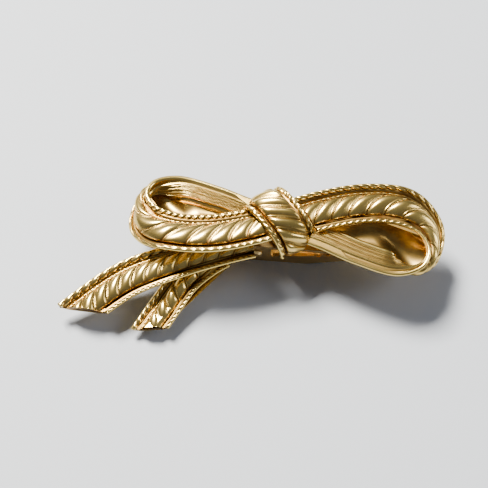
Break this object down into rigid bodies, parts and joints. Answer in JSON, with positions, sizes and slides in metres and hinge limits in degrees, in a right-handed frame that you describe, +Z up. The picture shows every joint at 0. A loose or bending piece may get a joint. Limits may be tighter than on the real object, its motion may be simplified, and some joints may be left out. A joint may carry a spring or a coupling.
{
  "type": "alligator hair clip",
  "caption": "Bow-shaped metal hair clip: ribbon loops, a knot and tails on a sprung alligator clip with a toothed jaw.",
  "frame": {"origin": "middle of the whole clip's footprint, on the surface that the toothed jaw lies on", "axes": "+X along the bow's loops and the clip towards the jaw's tip, +Y to the back of the bow away from the tails, +Z up out of the bow's face"},
  "size_m": [0.0638, 0.0264, 0.0128],
  "materials": {
    "satin_gold": "satin gold plating",
    "clip_gold": "smooth gold plating",
    "spring_steel": "drawn steel wire"
  },
  "bodies": {
    "bow_and_plate": {"right_loop_strip": "satin_gold", "right_loop_fluted_rib": "satin_gold", "right_loop_rim_wire": "satin_gold", "right_loop_edge_wire": "satin_gold", "right_loop_bowl": "satin_gold", "left_loop_strip": "satin_gold", "left_loop_fluted_rib": "satin_gold", "left_loop_rim_wire": "satin_gold", "left_loop_edge_wire": "satin_gold", "left_loop_bowl": "satin_gold", "knot_body": "satin_gold", "knot_fluted_rib": "satin_gold", "knot_left_wire": "satin_gold", "knot_right_wire": "satin_gold", "long_tail_strip": "satin_gold", "long_tail_fluted_rib": "satin_gold", "long_tail_back_wire": "satin_gold", "long_tail_front_wire": "satin_gold", "short_tail_strip": "satin_gold", "short_tail_fluted_rib": "satin_gold", "short_tail_back_wire": "satin_gold", "short_tail_front_wire": "satin_gold", "top_plate": "clip_gold", "hinge_pin": "clip_gold", "torsion_spring": "spring_steel"},
    "jaw": {"toothed_jaw": "clip_gold"}
  },
  "joints": [
    {"name": "jaw_hinge", "type": "hinge", "parent": "bow_and_plate", "child": "jaw", "pos_m": [0.00047, 0.00562, 0.0037], "axis": [0, 1, 0], "range_deg": [0, 18], "stiffness_Nm_per_rad": 0.05, "springref_deg": -57.3, "deforming": ["torsion_spring"]}
  ]
}
